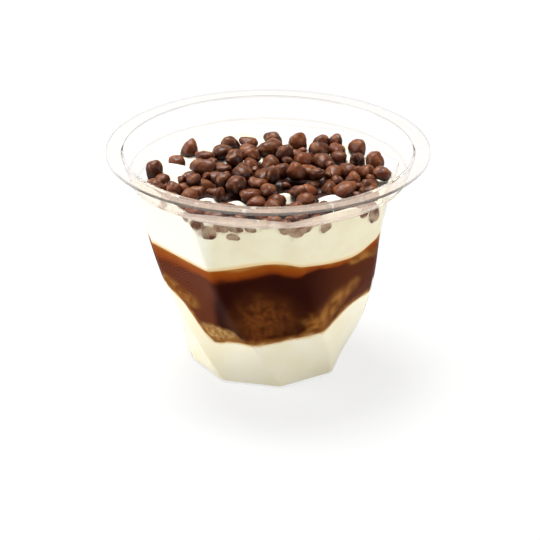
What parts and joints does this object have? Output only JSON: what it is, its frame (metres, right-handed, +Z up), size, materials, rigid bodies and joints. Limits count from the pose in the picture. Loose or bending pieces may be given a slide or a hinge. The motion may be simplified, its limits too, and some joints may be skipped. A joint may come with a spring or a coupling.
{
  "type": "layered dessert in a clear cup",
  "caption": "Layered cream and sauce-soaked sponge dessert under chocolate-coated nuggets, in a clear twisted eight-sided cup with a flat rim.",
  "frame": {"origin": "centre of the cup's flat base", "axes": "+Z up through the cup's mouth, -Y towards the side that the picture shows"},
  "size_m": [0.095, 0.095, 0.0676],
  "materials": {
    "clear_plastic": "clear, glossy, thin moulded plastic",
    "custard_cream": "soft pale yellow cream",
    "cocoa_sauce": "dark coffee and cocoa sauce with soaked sponge, wet against the wall",
    "whipped_cream": "soft ivory whipped cream",
    "milk_chocolate": "satin milk chocolate coating on rounded nuggets"
  },
  "bodies": {
    "root": {"cup": "clear_plastic", "lower_cream": "custard_cream", "sauce_sponge_layer": "cocoa_sauce", "upper_cream": "whipped_cream", "nugget_heap": "milk_chocolate"}
  },
  "joints": []
}
